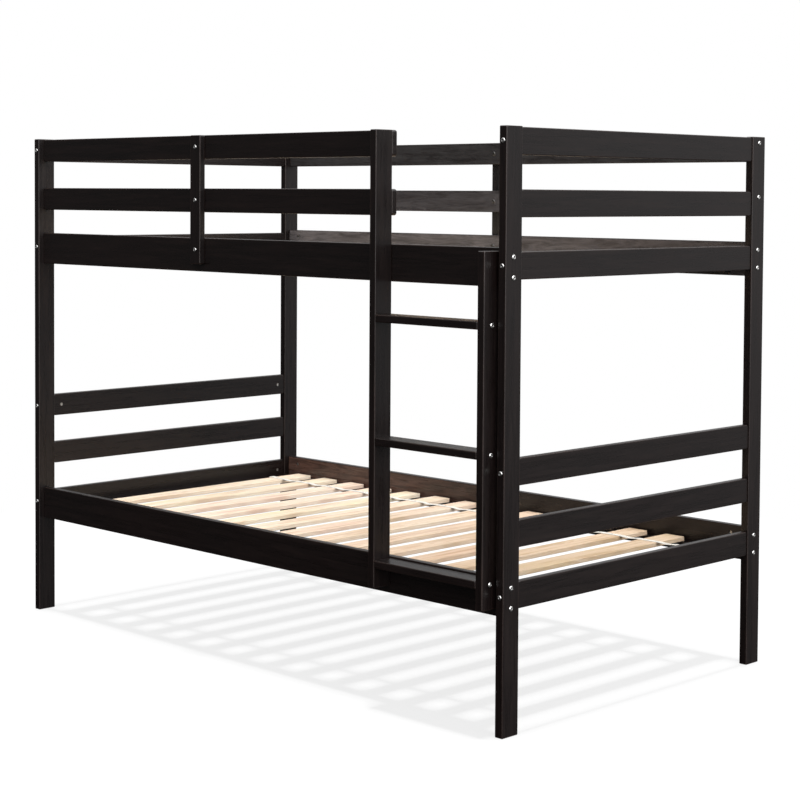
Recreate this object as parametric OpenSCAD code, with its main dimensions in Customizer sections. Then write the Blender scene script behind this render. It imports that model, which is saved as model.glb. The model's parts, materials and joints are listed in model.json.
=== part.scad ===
// Twin-over-twin bunk bed with a flat-step ladder, bolted together from planed boards.
// +X runs along the bed, +Z is up, and the ladder stands on the -Y side near the +X end.
// The origin is on the floor, under the middle of the assembled bed's outline.

/* [Overall size] */
// Length over the posts
bed_length = 1980; // [1940:10:2100]
// Width over the posts
bed_width = 1092; // [1040:2:1200]
// Height of the posts
bed_height = 1486; // [1486:2:1560]

/* [Posts] */
// Thickness of a post along the bed
post_thick = 24; // [22:1:34]
// Depth of a post across the bed
post_deep = 59; // [56:1:80]

/* [End boards] */
// Thickness of an end board
board_thick = 17; // [16:1:20]
// Height of an end board or guard rail
board_high = 68; // [60:2:80]
// Height of the middle of the lowest end board above the floor
board_low_z = 344; // [340:1:360]
// Spacing of the three end boards of one bunk, middle to middle
board_pitch = 151; // [130:1:155]
// Rise from the lower bunk to the upper bunk
bunk_rise = 804; // [780:2:804]
// Radius of the corners of a board's outline
board_round = 7; // [3:1:12]

/* [Side rails] */
// Thickness of a side rail
rail_thick = 20; // [18:1:22]
// Height of a side rail
rail_high = 96; // [90:2:110]
// Height of the middle of a lower side rail above the floor
rail_low_z = 340; // [336:1:350]
// Setback of the rails' outer faces behind the posts' outer faces
rail_setback = 19.5; // [18:0.5:22]
// Radius of the corners of a side rail's outline
rail_round = 5; // [2:1:8]

/* [Slats] */
// Number of slats under one mattress
slat_count = 14; // [10:1:14]
// Width of a slat
slat_wide = 66; // [50:1:80]
// Thickness of a slat
slat_thick = 13; // [12:1:18]
// Spacing of the slats, middle to middle
slat_pitch = 133.5; // [110:0.5:135]
// Gap between a slat's end and the side rail
slat_end_gap = 12; // [6:1:16]
// Height of the slats' top faces above a side rail's lower edge
slat_top_rise = 42; // [38:1:46]
// Height of the ledge that carries the slats
ledger_high = 20; // [16:1:22]
// Depth of the ledge that carries the slats
ledger_deep = 28; // [24:1:32]
// Width of the webbing strap across the slats
strap_wide = 18; // [14:1:30]
// Thickness of the webbing strap
strap_thick = 1.6; // [1:0.1:2.5]
// Setback of each strap's middle from the side rail's inner face
strap_setback = 138; // [100:1:200]

/* [Guard rails] */
// Thickness of a guard rail
guard_thick = 17; // [16:1:20]
// Width of the upright that ties the guard rails to the side rail
support_wide = 44; // [36:1:60]
// Height of that upright's lower end above the floor
support_foot_z = 1117; // [1110:1:1125]

/* [Ladder] */
// Width over the ladder's uprights
ladder_wide = 395; // [340:5:420]
// Gap between the ladder and the nearest post
ladder_gap = 9.5; // [6:0.5:20]
// Thickness of an upright
upright_thick = 22; // [20:1:26]
// Depth of an upright and of a step
upright_deep = 59; // [50:1:70]
// Height of the uprights' lower ends above the floor
upright_foot_z = 312; // [300:1:320]
// Height of the shorter upright's upper end above the floor
upright_short_z = 1184; // [1170:2:1186]
// Radius of the rounded corner at the front of an upright's upper end
upright_round = 15; // [8:1:22]
// Height of the lowest step's top face above the floor
step_low_z = 384; // [380:1:400]
// Rise from one step to the next
step_rise = 315; // [290:1:315]
// Thickness of a step
step_thick = 20; // [18:1:24]

/* [Hardware] */
// Diameter of a bolt's shank
bolt_d = 6; // [5:1:8]
// Diameter of a bolt's head
head_d = 13; // [11:1:16]
// Thickness of a bolt's head
head_t = 2; // [1:0.5:3]
// Width of the hex socket across its flats
socket_af = 4; // [3:1:6]
// Diameter of a barrel nut
nut_d = 10; // [9:1:12]
// Length of a barrel nut
nut_long = 14; // [10:1:14]
// Diameter of a wooden dowel
dowel_d = 8; // [6:1:10]

/* [Hidden] */
$fn = 48;
clearance = 0.5;
// How far each thread runs past the far side of its nut
bolt_past = 2;
// Distance from a board's end to its barrel nut
nut_from_end = 29;
rail_nut_from_end = 48;
upright_nut_depth = 33;
// Heights of the bolts above or below the middle of the rail they hold
rail_bolt_z = 25;
guard_bolt_z = 18;
rail_dowel_z = -11;
upright_bolt_z = 10;
support_bolt_z = 14;
board_dowel_z = 22;
step_dowel_y = 20;
dowel_long = 36;
dowel_in_post = 16;
ledger_inset = 60;
ledger_screws_each = 7;
screw_d = 4;
screw_head_d = 8;
screw_long = 40;
// Staples that hold the straps to the slats
staple_wide = 11;
staple_leg = 10;
staple_wire = [1.2, 0.7];
staple_clearance = 0.1;

half_l = bed_length / 2;
half_w = bed_width / 2;
post_x = half_l - post_thick / 2;
post_y = half_w - post_deep / 2;
post_in_x = half_l - post_thick;
post_in_y = half_w - post_deep;
rail_out_y = half_w - rail_setback;
rail_in_y = rail_out_y - rail_thick;
rail_mid_y = rail_out_y - rail_thick / 2;
guard_mid_y = rail_out_y - guard_thick / 2;
guard_in_y = rail_out_y - guard_thick;
guard_top_z = board_z(5) + board_high / 2;
support_thick = rail_setback;

ladder_right_x = post_in_x - ladder_gap;
ladder_left_x = ladder_right_x - ladder_wide;
ladder_back_y = -rail_out_y;
ladder_front_y = ladder_back_y - upright_deep;
ladder_mid_y = ladder_back_y - upright_deep / 2;
step_left_x = ladder_left_x + upright_thick;
step_right_x = ladder_right_x - upright_thick;
step_mid_x = (ladder_left_x + ladder_right_x) / 2;

guard_left_x = -post_in_x;
front_guard_mid_x = (guard_left_x + step_left_x) / 2;

slat_long = 2 * (rail_in_y - slat_end_gap);
slat_run = (slat_count - 1) * slat_pitch + slat_wide;
strap_y = rail_in_y - strap_setback;

// The ladder stands proud at the front and the bolt heads at the back,
// so the outline's middle is not the posts' middle.
outline_y = (ladder_front_y + half_w + head_t) / 2;

// Height of the middle of each end board, from 0 at the bottom to 5 at the top
function board_z(i) = board_low_z + (i % 3) * board_pitch + floor(i / 3) * bunk_rise;
// Height of the middle of a side rail, of bunk 0 or 1
function rail_z(bunk) = rail_low_z + bunk * bunk_rise;
// Height of a slat's top face
function slat_top(bunk) = rail_z(bunk) - rail_high / 2 + slat_top_rise;
function slat_x(i) = (i - (slat_count - 1) / 2) * slat_pitch;
function step_z(i) = step_low_z + i * step_rise - step_thick / 2;

ends = [["left", -1], ["right", 1]];
sides = [["front", -1], ["back", 1]];
bunks = [["lower", 0], ["upper", 1]];
board_names = ["lower_bed_end", "lower_middle", "lower_top", "upper_bed_end", "upper_middle", "upper_top"];
step_names = ["lower", "middle", "upper"];

function two_digits(n) = str(n < 10 ? "0" : "", n);
function post_name(e, s) = str("post_", s[0], "_", e[0]);
function board_name(e, i) = str(e[0], "_", board_names[i], "_board");
function rail_name(b, s) = str(b[0], "_", s[0], "_side_rail");
function ledger_name(b, s) = str(b[0], "_", s[0], "_ledger");
function guard_name(s, i) = str(s[0], "_guard_rail_", i == 0 ? "middle" : "top");
function support_name(s) = str(s[0], "_guard_support");
function upright_name(e) = str("ladder_", e[0], "_upright");
function step_name(i) = str("ladder_", step_names[i], "_step");
function slat_name(i) = str("lower_slat_", two_digits(i + 1));

// Colours
module espresso() { color("#241a18") children(); }
module pine() { color("#e3cfa4") children(); }
module webbing() { color("#ece9e0") children(); }
module steel() { color("silver") children(); }
module birch() { color("burlywood") children(); }

// Moves the assembly so that its outline's middle is over the origin
module place() { translate([0, -outline_y, 0]) children(); }

// Flat outline with round corners, about its middle
module round_outline(w, h, r) {
    square([w - 2 * r, h], center = true);
    square([w, h - 2 * r], center = true);
    for (x = [-1, 1], y = [-1, 1])
        translate([x * (w / 2 - r), y * (h / 2 - r)]) circle(r);
}

// Board along X, on edge, about its middle
module long_board(long, high, thick, r) {
    rotate([90, 0, 0]) linear_extrude(thick, center = true) round_outline(long, high, r);
}

// Board along Y, on edge, about its middle
module cross_board(long, high, thick, r) {
    rotate([0, 0, 90]) long_board(long, high, thick, r);
}

// Cylinder along an axis, starting at the origin: dir is 1 or -1
module rod_x(d, long, dir = 1) { rotate([0, 90 * dir, 0]) cylinder(d = d, h = long); }
module rod_y(d, long, dir = 1) { rotate([-90 * dir, 0, 0]) cylinder(d = d, h = long); }

// Bolt whose head stands on the XY plane and whose shank points down
module bolt(shank) {
    difference() {
        union() {
            cylinder(d1 = head_d, d2 = head_d - head_t, h = head_t);
            translate([0, 0, -shank]) cylinder(d = bolt_d, h = shank);
        }
        translate([0, 0, -1]) cylinder(d = socket_af / cos(30), h = head_t + 2, $fn = 6);
    }
}

// Bolt with its head on a face whose outward normal is +X or -X, or +Y or -Y
module bolt_x(shank, dir) { rotate([0, 90 * dir, 0]) bolt(shank); }
module bolt_y(shank, dir) { rotate([-90 * dir, 0, 0]) bolt(shank); }

// Barrel nut along Z, about its middle, with a slot in its upper end.
// Its cross hole runs along X.
module barrel_nut() {
    difference() {
        cylinder(d = nut_d, h = nut_long, center = true);
        rotate([0, 90, 0]) cylinder(d = bolt_d, h = nut_d + 2, center = true);
        translate([-nut_d, -0.75, nut_long / 2 - 1.2]) cube([2 * nut_d, 1.5, 2]);
    }
}

// Depth of the blind hole that holds a barrel nut in the middle of a board's thickness
function nut_hole(thick) = (thick + nut_long) / 2 + 0.2;

// ---- Frame ----

module post(end, side) {
    has_guard = side > 0 || end < 0;
    espresso() difference() {
        translate([end * post_x - post_thick / 2, side * post_y - post_deep / 2, 0])
            cube([post_thick, post_deep, bed_height]);
        // End board bolts, across the bed
        for (i = [0, 2, 3, 5])
            translate([end * post_x, side * (half_w + 1), board_z(i)])
                rod_y(bolt_d + clearance, post_deep + 2, -side);
        // Side rail bolts, along the bed
        for (bunk = [0, 1], z = [-rail_bolt_z, rail_bolt_z])
            translate([end * (half_l + 1), side * rail_mid_y, rail_z(bunk) + z])
                rod_x(bolt_d + clearance, post_thick + 2, -end);
        // Guard rail bolts
        if (has_guard)
            for (i = [4, 5])
                translate([end * (half_l + 1), side * guard_mid_y, board_z(i) + guard_bolt_z])
                    rod_x(bolt_d + clearance, post_thick + 2, -end);
        // Dowels
        post_dowel_holes(end, side, has_guard);
    }
}

module post_dowel_holes(end, side, has_guard) {
    for (i = [0 : 5], z = [-board_dowel_z, board_dowel_z])
        translate([end * post_x, side * (post_in_y - 1), board_z(i) + z])
            rod_y(dowel_d, dowel_in_post + 1, side);
    for (bunk = [0, 1])
        translate([end * (post_in_x - 1), side * rail_mid_y, rail_z(bunk) + rail_dowel_z])
            rod_x(dowel_d, dowel_in_post + 1, end);
    if (has_guard)
        for (i = [4, 5])
            translate([end * (post_in_x - 1), side * guard_mid_y, board_z(i) - guard_bolt_z])
                rod_x(dowel_d, dowel_in_post + 1, end);
}

module end_board(end, i) {
    long = 2 * post_in_y;
    is_bolted = i % 3 != 1;
    espresso() translate([end * post_x, 0, board_z(i)]) difference() {
        cross_board(long, board_high, board_thick, board_round);
        for (side = [-1, 1]) {
            for (z = [-board_dowel_z, board_dowel_z])
                translate([0, side * (long / 2 + 1), z])
                    rod_y(dowel_d, dowel_long - dowel_in_post + 1, -side);
            if (is_bolted) {
                translate([0, side * (long / 2 + 1), 0])
                    rod_y(bolt_d + clearance, nut_from_end + nut_d / 2 + bolt_past + 1, -side);
                // Barrel nut hole, open on the bed's side
                translate([-end * (board_thick / 2 + 1), side * (long / 2 - nut_from_end), 0])
                    rod_x(nut_d, nut_hole(board_thick) + 1, end);
            }
        }
    }
}

module side_rail(bunk, side) {
    long = 2 * post_in_x;
    espresso() difference() {
        translate([0, side * rail_mid_y, rail_z(bunk)])
            long_board(long, rail_high, rail_thick, rail_round);
        for (end = [-1, 1]) {
            for (z = [-rail_bolt_z, rail_bolt_z]) {
                translate([end * (post_in_x + 1), side * rail_mid_y, rail_z(bunk) + z])
                    rod_x(bolt_d + clearance, rail_nut_from_end + nut_d / 2 + bolt_past + 1, -end);
                translate([end * (post_in_x - rail_nut_from_end), side * (rail_in_y - 1),
                           rail_z(bunk) + z])
                    rod_y(nut_d, nut_hole(rail_thick) + 1, side);
            }
            translate([end * (post_in_x + 1), side * rail_mid_y, rail_z(bunk) + rail_dowel_z])
                rod_x(dowel_d, dowel_long - dowel_in_post + 1, -end);
        }
        // Ledger screws
        for (i = [0 : ledger_screws_each - 1])
            translate([ledger_screw_x(i), side * (rail_in_y - 1), ledger_z(bunk) + ledger_high / 2])
                rod_y(screw_d, screw_long - ledger_deep + 1, side);
        // Ladder bolts
        if (side < 0)
            for (x = ladder_bolt_xs())
                translate([x, -rail_in_y + 1, rail_z(bunk) + upright_bolt_z])
                    rod_y(bolt_d + clearance, rail_thick + 2, -1);
        // Guard support bolt
        if (bunk == 1)
            translate([support_x(side), side * (rail_in_y - 1), rail_z(1) + support_bolt_z])
                rod_y(bolt_d + clearance + 2, rail_thick + 2, side);
    }
}

// X of the bolts that hold the ladder's two uprights
function ladder_bolt_xs() = [ladder_left_x + upright_thick / 2, ladder_right_x - upright_thick / 2];
function support_x(side) = side < 0 ? front_guard_mid_x : 0;

// Height of a ledger's lower face
function ledger_z(bunk) = slat_top(bunk) - slat_thick - ledger_high;

module ledger(bunk, side) {
    z = ledger_z(bunk);
    long = 2 * (post_in_x - ledger_inset);
    espresso() difference() {
        translate([-long / 2, side > 0 ? rail_in_y - ledger_deep : -rail_in_y, z])
            cube([long, ledger_deep, ledger_high]);
        for (i = [0 : ledger_screws_each - 1])
            translate([ledger_screw_x(i), side * (rail_in_y + 1), z + ledger_high / 2])
                rod_y(screw_d + clearance, ledger_deep + 2, -side);
    }
}

function ledger_screw_x(i) = (i - (ledger_screws_each - 1) / 2) * (2 * slat_pitch);

// ---- Guard rails ----

module guard_rail(side, i) {
    right_x = side < 0 ? step_left_x : post_in_x;
    long = right_x - guard_left_x;
    z = board_z(4 + i);
    bolted_ends = side < 0 ? [-1] : [-1, 1];
    espresso() difference() {
        translate([(guard_left_x + right_x) / 2, side * guard_mid_y, z])
            long_board(long, board_high, guard_thick, board_round);
        for (end = bolted_ends) {
            translate([end * (post_in_x + 1), side * guard_mid_y, z + guard_bolt_z])
                rod_x(bolt_d + clearance, nut_from_end + nut_d / 2 + bolt_past + 1, -end);
            translate([end * (post_in_x - nut_from_end), side * (guard_in_y - 1), z + guard_bolt_z])
                rod_y(nut_d, nut_hole(guard_thick) + 1, side);
            translate([end * (post_in_x + 1), side * guard_mid_y, z - guard_bolt_z])
                rod_x(dowel_d, dowel_long - dowel_in_post + 1, -end);
        }
        translate([support_x(side), side * (guard_in_y - 1), z])
            rod_y(bolt_d + clearance + 2, guard_thick + 2, side);
        if (side < 0)
            translate([ladder_bolt_xs()[0], -guard_in_y + 1, z])
                rod_y(bolt_d + clearance, guard_thick + 2, -1);
    }
}

// Heights of the three bolts through a guard support
function support_bolt_zs() = [rail_z(1) + support_bolt_z, board_z(4), board_z(5)];

module guard_support(side) {
    high = guard_top_z - support_foot_z;
    espresso() difference() {
        translate([support_x(side), side * (half_w - support_thick / 2), support_foot_z + high / 2])
            long_board(support_wide, high, support_thick, 4);
        for (z = support_bolt_zs())
            translate([support_x(side), side * (half_w + 1), z])
                rod_y(bolt_d + clearance, support_thick + 2, -side);
    }
}

// ---- Ladder ----

module upright_outline(high) {
    r = upright_round;
    square([upright_deep, high - r]);
    translate([r, 0]) square([upright_deep - r, high]);
    translate([r, high - r]) circle(r);
}

module ladder_upright(end) {
    is_left = end < 0;
    top_z = is_left ? guard_top_z : upright_short_z;
    x = is_left ? ladder_left_x : step_right_x;
    mid_x = x + upright_thick / 2;
    joint_zs = concat(
        [for (bunk = [0, 1]) rail_z(bunk) + upright_bolt_z],
        is_left ? [board_z(4), board_z(5)] : []
    );
    espresso() difference() {
        translate([x, ladder_front_y, upright_foot_z]) rotate([90, 0, 90])
            linear_extrude(upright_thick) upright_outline(top_z - upright_foot_z);
        // Bolts from the rails behind, each with its barrel nut open on the -X face
        for (z = joint_zs) {
            translate([mid_x, ladder_back_y + 1, z])
                rod_y(bolt_d + clearance, upright_nut_depth + nut_d / 2 + bolt_past + 1, -1);
            translate([x - 1, ladder_back_y - upright_nut_depth, z])
                rod_x(nut_d, nut_hole(upright_thick) + 1, 1);
        }
        for (i = [0 : 2]) {
            translate([x - 1, ladder_mid_y, step_z(i)])
                rod_x(bolt_d + clearance, upright_thick + 2);
            for (y = [-step_dowel_y, step_dowel_y])
                translate([is_left ? step_left_x + 1 : step_right_x - 1, ladder_mid_y + y, step_z(i)])
                    rod_x(dowel_d, dowel_in_post + 1, end);
        }
    }
}

module ladder_step(i) {
    long = step_right_x - step_left_x;
    espresso() translate([step_mid_x, ladder_mid_y, step_z(i)]) difference() {
        rotate([0, 90, 0]) linear_extrude(long, center = true)
            round_outline(step_thick, upright_deep, 3);
        for (end = [-1, 1]) {
            translate([end * (long / 2 + 1), 0, 0])
                rod_x(bolt_d + clearance, nut_from_end + nut_d / 2 + bolt_past + 1, -end);
            translate([end * (long / 2 - nut_from_end), 0, -step_thick / 2 - 1])
                cylinder(d = nut_d, h = nut_hole(step_thick) + 1);
            for (y = [-step_dowel_y, step_dowel_y])
                translate([end * (long / 2 + 1), y, 0])
                    rod_x(dowel_d, dowel_long - dowel_in_post + 1, -end);
        }
    }
}

// ---- Slats ----

module slat(bunk, i) {
    pine() difference() {
        translate([slat_x(i), 0, slat_top(bunk) - slat_thick / 2])
            cube([slat_wide, slat_long, slat_thick], center = true);
        for (side = [-1, 1])
            staple_legs(bunk, i, side, staple_clearance);
    }
}

module strap(bunk, side) {
    webbing() difference() {
        translate([-slat_run / 2, side * strap_y - strap_wide / 2, slat_top(bunk)])
            cube([slat_run, strap_wide, strap_thick]);
        for (i = [0 : slat_count - 1])
            staple_legs(bunk, i, side, staple_clearance);
    }
}

// The two legs of a staple, or with extra, the slots that they have cut
module staple_legs(bunk, i, side, extra = 0) {
    wire = staple_wire + [extra, extra];
    top_z = slat_top(bunk) + strap_thick;
    for (leg = [-1, 1])
        translate([slat_x(i) - wire[0] / 2,
                   side * strap_y + leg * (staple_wide - staple_wire[1]) / 2 - wire[1] / 2,
                   top_z - strap_thick - staple_leg - extra])
            cube([wire[0], wire[1], staple_leg + strap_thick + 2 * extra]);
}

// Staple across a strap, with its crown on the strap and its legs in the slat
module staple(bunk, i, side) {
    steel() union() {
        staple_legs(bunk, i, side);
        translate([slat_x(i) - staple_wire[0] / 2, side * strap_y - staple_wide / 2,
                   slat_top(bunk) + strap_thick])
            cube([staple_wire[0], staple_wide, staple_wire[1]]);
    }
}

// ---- Hardware ----

module strap_staples() {
    for (bunk = [0, 1], side = [-1, 1], i = [0 : slat_count - 1])
        staple(bunk, i, side);
}

module side_rail_bolts() {
    for (bunk = [0, 1], end = [-1, 1], side = [-1, 1], z = [-rail_bolt_z, rail_bolt_z])
        steel() translate([end * half_l, side * rail_mid_y, rail_z(bunk) + z])
            bolt_x(post_thick + rail_nut_from_end + nut_d / 2 + bolt_past, end);
}

module end_board_bolts() {
    for (i = [0, 2, 3, 5], end = [-1, 1], side = [-1, 1])
        steel() translate([end * post_x, side * half_w, board_z(i)])
            bolt_y(post_deep + nut_from_end + nut_d / 2 + bolt_past, side);
}

module guard_bolts() {
    // Posts to guard rails
    for (c = guard_corners, i = [4, 5])
        steel() translate([c[0] * half_l, c[1] * guard_mid_y, board_z(i) + guard_bolt_z])
            bolt_x(post_thick + nut_from_end + nut_d / 2 + bolt_past, c[0]);
    // Supports to rails: a bolt from outside into a sleeve nut from inside
    for (side = [-1, 1], i = [0 : 2]) {
        rail_face = i == 0 ? rail_in_y : guard_in_y;
        z = support_bolt_zs()[i];
        steel() translate([support_x(side), side * half_w, z])
            bolt_y(half_w - rail_face - head_t, side);
        steel() translate([support_x(side), side * rail_face, z])
            sleeve_nut(rail_out_y - rail_face - 1, side);
    }
    // Guard rails to the taller upright
    for (i = [4, 5])
        steel() translate([ladder_bolt_xs()[0], -guard_in_y, board_z(i)])
            bolt_y(guard_thick + upright_nut_depth + nut_d / 2 + bolt_past, 1);
}

// Corners where a post carries guard rails, as [end, side]
guard_corners = [[-1, -1], [-1, 1], [1, 1]];

// Sleeve nut with its head on the rail's inner face and its sleeve in the rail
module sleeve_nut(long, side) {
    rotate([90 * side, 0, 0]) difference() {
        union() {
            cylinder(d1 = head_d, d2 = head_d - head_t, h = head_t);
            translate([0, 0, -long]) cylinder(d = bolt_d + 2, h = long);
        }
        translate([0, 0, -long - 1]) cylinder(d = bolt_d + clearance, h = long + 1);
        translate([0, 0, -1]) cylinder(d = socket_af / cos(30), h = head_t + 2, $fn = 6);
    }
}

module ladder_bolts() {
    shank = upright_thick + nut_from_end + nut_d / 2 + bolt_past;
    for (i = [0 : 2]) {
        steel() translate([ladder_left_x, ladder_mid_y, step_z(i)]) bolt_x(shank, -1);
        steel() translate([ladder_right_x, ladder_mid_y, step_z(i)]) bolt_x(shank, 1);
    }
    for (bunk = [0, 1], x = ladder_bolt_xs())
        steel() translate([x, -rail_in_y, rail_z(bunk) + upright_bolt_z])
            bolt_y(rail_thick + upright_nut_depth + nut_d / 2 + bolt_past, 1);
}

module barrel_nuts() {
    // In the side rails, slots towards the bed
    for (bunk = [0, 1], end = [-1, 1], side = [-1, 1], z = [-rail_bolt_z, rail_bolt_z])
        nut_in_long_board(end * (post_in_x - rail_nut_from_end), side, rail_mid_y, rail_z(bunk) + z);
    // In the guard rails
    for (c = guard_corners, i = [4, 5])
        nut_in_long_board(c[0] * (post_in_x - nut_from_end), c[1], guard_mid_y,
                          board_z(i) + guard_bolt_z);
    // In the end boards
    for (i = [0, 2, 3, 5], end = [-1, 1], side = [-1, 1])
        steel() translate([end * post_x, side * (post_in_y - nut_from_end), board_z(i)])
            rotate([0, -90 * end, 0]) rotate([0, 0, 90]) barrel_nut();
    // In the steps, from below
    for (i = [0 : 2], x = [step_left_x + nut_from_end, step_right_x - nut_from_end])
        steel() translate([x, ladder_mid_y, step_z(i)]) rotate([180, 0, 0]) barrel_nut();
    // In the uprights, across the bolts from the rails
    for (z = [rail_z(0) + upright_bolt_z, rail_z(1) + upright_bolt_z], x = ladder_bolt_xs())
        nut_in_upright(x, z);
    for (i = [4, 5])
        nut_in_upright(ladder_bolt_xs()[0], board_z(i));
}

module nut_in_long_board(x, side, mid_y, z) {
    steel() translate([x, side * mid_y, z]) rotate([90 * side, 0, 0]) barrel_nut();
}

module nut_in_upright(x, z) {
    steel() translate([x, ladder_back_y - upright_nut_depth, z])
        rotate([0, -90, 0]) rotate([0, 0, 90]) barrel_nut();
}

module wood_dowels() {
    gap = 0.5;
    long = dowel_long - 2 * gap;
    for (i = [0 : 5], z = [-board_dowel_z, board_dowel_z], end = [-1, 1], side = [-1, 1])
        birch() translate([end * post_x, side * (post_in_y + dowel_in_post - gap), board_z(i) + z])
            rod_y(dowel_d, long, -side);
    for (bunk = [0, 1], end = [-1, 1], side = [-1, 1])
        birch() translate([end * (post_in_x + dowel_in_post - gap), side * rail_mid_y,
                           rail_z(bunk) + rail_dowel_z])
            rod_x(dowel_d, long, -end);
    for (c = guard_corners, i = [4, 5])
        birch() translate([c[0] * (post_in_x + dowel_in_post - gap), c[1] * guard_mid_y,
                           board_z(i) - guard_bolt_z])
            rod_x(dowel_d, long, -c[0]);
    for (i = [0 : 2], y = [-step_dowel_y, step_dowel_y]) {
        birch() translate([step_left_x - dowel_in_post + gap, ladder_mid_y + y, step_z(i)])
            rod_x(dowel_d, long, 1);
        birch() translate([step_right_x + dowel_in_post - gap, ladder_mid_y + y, step_z(i)])
            rod_x(dowel_d, long, -1);
    }
}

module ledger_screws() {
    for (bunk = [0, 1], side = [-1, 1], i = [0 : ledger_screws_each - 1])
        steel() translate([ledger_screw_x(i), side * (rail_in_y - ledger_deep),
                           ledger_z(bunk) + ledger_high / 2])
            rotate([90 * side, 0, 0]) screw();
}

// Wood screw with its low head on the XY plane and its point down
module screw() {
    cylinder(d1 = screw_head_d, d2 = screw_head_d - 1, h = 0.8);
    translate([0, 0, -screw_long]) cylinder(d = screw_d, h = screw_long);
}

// ---- Nodes ----

for (e = ends, s = sides)
    place() post(e[1], s[1]);
for (e = ends, i = [0 : 5])
    place() end_board(e[1], i);
for (b = bunks, s = sides)
    place() side_rail(b[1], s[1]);
for (b = bunks, s = sides)
    place() ledger(b[1], s[1]);
for (s = sides, i = [0, 1])
    place() guard_rail(s[1], i);
for (s = sides)
    place() guard_support(s[1]);
for (e = ends)
    place() ladder_upright(e[1]);
for (i = [0 : 2])
    place() ladder_step(i);
for (i = [0 : slat_count - 1])
    place() slat(0, i);
place() for (i = [0 : slat_count - 1]) slat(1, i);  // upper_slats
place() for (side = [-1, 1]) strap(0, side);  // lower_straps
place() for (side = [-1, 1]) strap(1, side);  // upper_straps
place() strap_staples();
place() side_rail_bolts();
place() end_board_bolts();
place() guard_bolts();
place() ladder_bolts();
place() barrel_nuts();
place() wood_dowels();
place() ledger_screws();
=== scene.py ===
"""Looks of the bunk bed, built around its CAD frame.

Each visible part is built here with eased edges and full detail, in the place of its CAD solid:
boards, slats, straps, staples, bolts and screws. Barrel nuts and dowels keep their CAD shape.
"""
import json
import math
import random

import bmesh
import bpy
from mathutils import Matrix, Vector
from mathutils.geometry import delaunay_2d_cdt


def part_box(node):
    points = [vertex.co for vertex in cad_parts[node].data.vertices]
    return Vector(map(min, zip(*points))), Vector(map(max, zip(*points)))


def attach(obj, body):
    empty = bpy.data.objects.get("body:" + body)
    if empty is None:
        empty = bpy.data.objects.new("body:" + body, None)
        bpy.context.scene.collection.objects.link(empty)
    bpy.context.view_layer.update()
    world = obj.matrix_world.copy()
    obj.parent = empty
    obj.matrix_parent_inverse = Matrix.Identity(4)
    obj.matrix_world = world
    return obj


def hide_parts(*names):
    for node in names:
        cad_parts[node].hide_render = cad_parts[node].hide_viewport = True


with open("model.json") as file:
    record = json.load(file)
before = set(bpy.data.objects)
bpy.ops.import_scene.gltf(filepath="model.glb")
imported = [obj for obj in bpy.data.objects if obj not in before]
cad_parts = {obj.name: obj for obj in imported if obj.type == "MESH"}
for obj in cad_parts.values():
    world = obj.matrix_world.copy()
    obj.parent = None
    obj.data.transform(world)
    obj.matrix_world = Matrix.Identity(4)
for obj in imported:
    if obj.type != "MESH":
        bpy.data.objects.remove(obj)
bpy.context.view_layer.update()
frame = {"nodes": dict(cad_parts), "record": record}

NODES = frame["nodes"]
WOOD_SLOT = "dark_wood"
MM = 0.001

# ---- Camera, light and floor ----

# The photo's viewpoint, in metres and degrees, and its lens in millimetres
CAMERA_PLACE = (3.9519, -3.8690, 1.3163)
CAMERA_TURN = 44.807
CAMERA_TILT = -2.356
CAMERA_ROLL = 0.344
CAMERA_LENS = 83.71
CAMERA_SHIFT_Y = -0.16

# The overhead sun's strength, and how wide it looks in degrees
SUN_STRENGTH = 10.5
SUN_SPREAD = 4.5
FLOOR_RADIUS = 2.6
FLOOR_SHADE = 0.045
FLOOR_GLOW = 0.775
# The studio's soft lamps: the way to each, its brightness, and the cosines at its rim and its core
LAMPS = (
    ((0.62, -0.28, 0.73), 3.9, 0.4, 0.9),
    ((-0.66, 0.2, 0.72), 1.4, 0.85, 0.97),
    ((-0.1, 0.68, 0.72), 1.2, 0.88, 0.97),
)
# Brightness at the horizon towards the bright side and away from it
HORIZON_BRIGHT = 0.5
HORIZON_DIM = 0.1
BRIGHT_SIDE = (0.25, 0.97, 0)
# Share of it that is left below the horizon, and what it grows to higher up
BELOW_SHARE = 0.2
ABOVE_SHARE = 1.3


def make_camera():
    data = bpy.data.cameras.new("camera")
    data.lens = CAMERA_LENS
    data.sensor_width = 36
    data.shift_y = CAMERA_SHIFT_Y
    camera = bpy.data.objects.new("camera", data)
    bpy.context.scene.collection.objects.link(camera)
    turn = Matrix.Rotation(math.radians(CAMERA_TURN), 4, "Z")
    tilt = Matrix.Rotation(math.radians(90 + CAMERA_TILT), 4, "X")
    roll = Matrix.Rotation(math.radians(CAMERA_ROLL), 4, "Z")
    camera.matrix_world = Matrix.Translation(CAMERA_PLACE) @ turn @ tilt @ roll
    bpy.context.scene.camera = camera


def make_sun(floor):
    """Straight down: it draws the bed's shadow on the floor and lights nothing else."""
    data = bpy.data.lights.new("overhead", "SUN")
    data.energy = SUN_STRENGTH
    data.angle = math.radians(SUN_SPREAD)
    sun = bpy.data.objects.new("overhead", data)
    bpy.context.scene.collection.objects.link(sun)
    lit = bpy.data.collections.new("lit_by_overhead")
    lit.objects.link(floor)
    sun.light_linking.receiver_collection = lit


# ---- Node trees ----


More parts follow.
